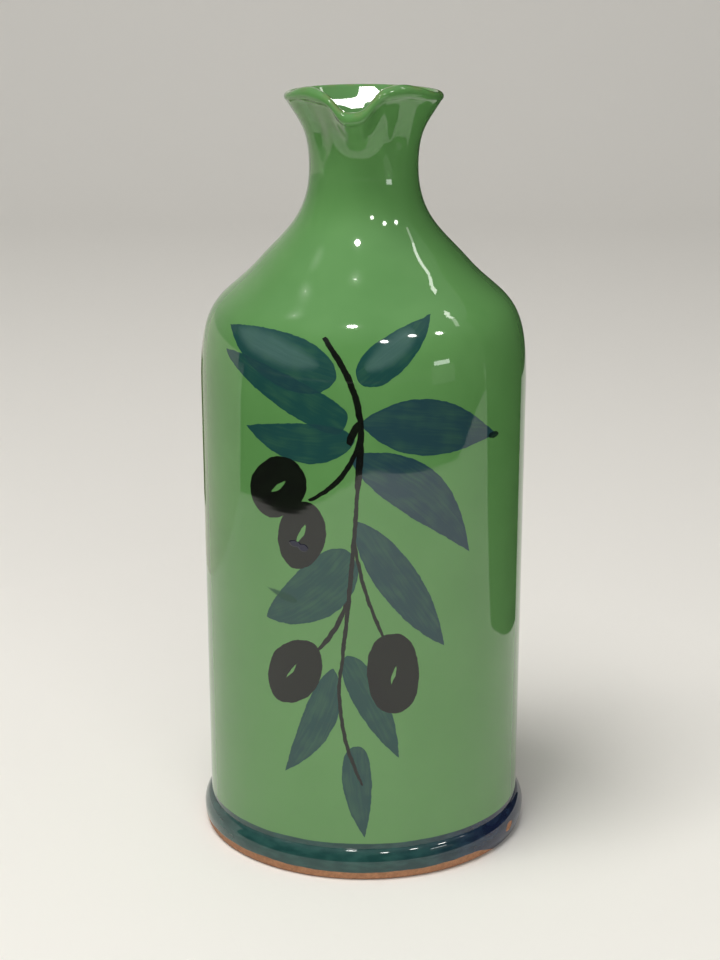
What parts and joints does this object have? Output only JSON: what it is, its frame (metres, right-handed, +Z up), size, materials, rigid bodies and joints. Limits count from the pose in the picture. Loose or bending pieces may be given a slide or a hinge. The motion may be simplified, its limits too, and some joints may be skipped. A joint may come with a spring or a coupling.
{
  "type": "oil cruet",
  "caption": "Hand-thrown glazed earthenware oil bottle: tall cylindrical body on a rounded foot, soft shoulder, narrow neck and a flared mouth pinched into a pouring lip.",
  "frame": {"origin": "centre of the flat base, on the surface that the bottle stands on", "axes": "+Z up along the turning axis, -Y towards the pouring lip"},
  "size_m": [0.0884, 0.0884, 0.2023],
  "materials": {
    "green_glaze": "gloss"
  },
  "bodies": {
    "root": {"cruet": "green_glaze"}
  },
  "joints": []
}
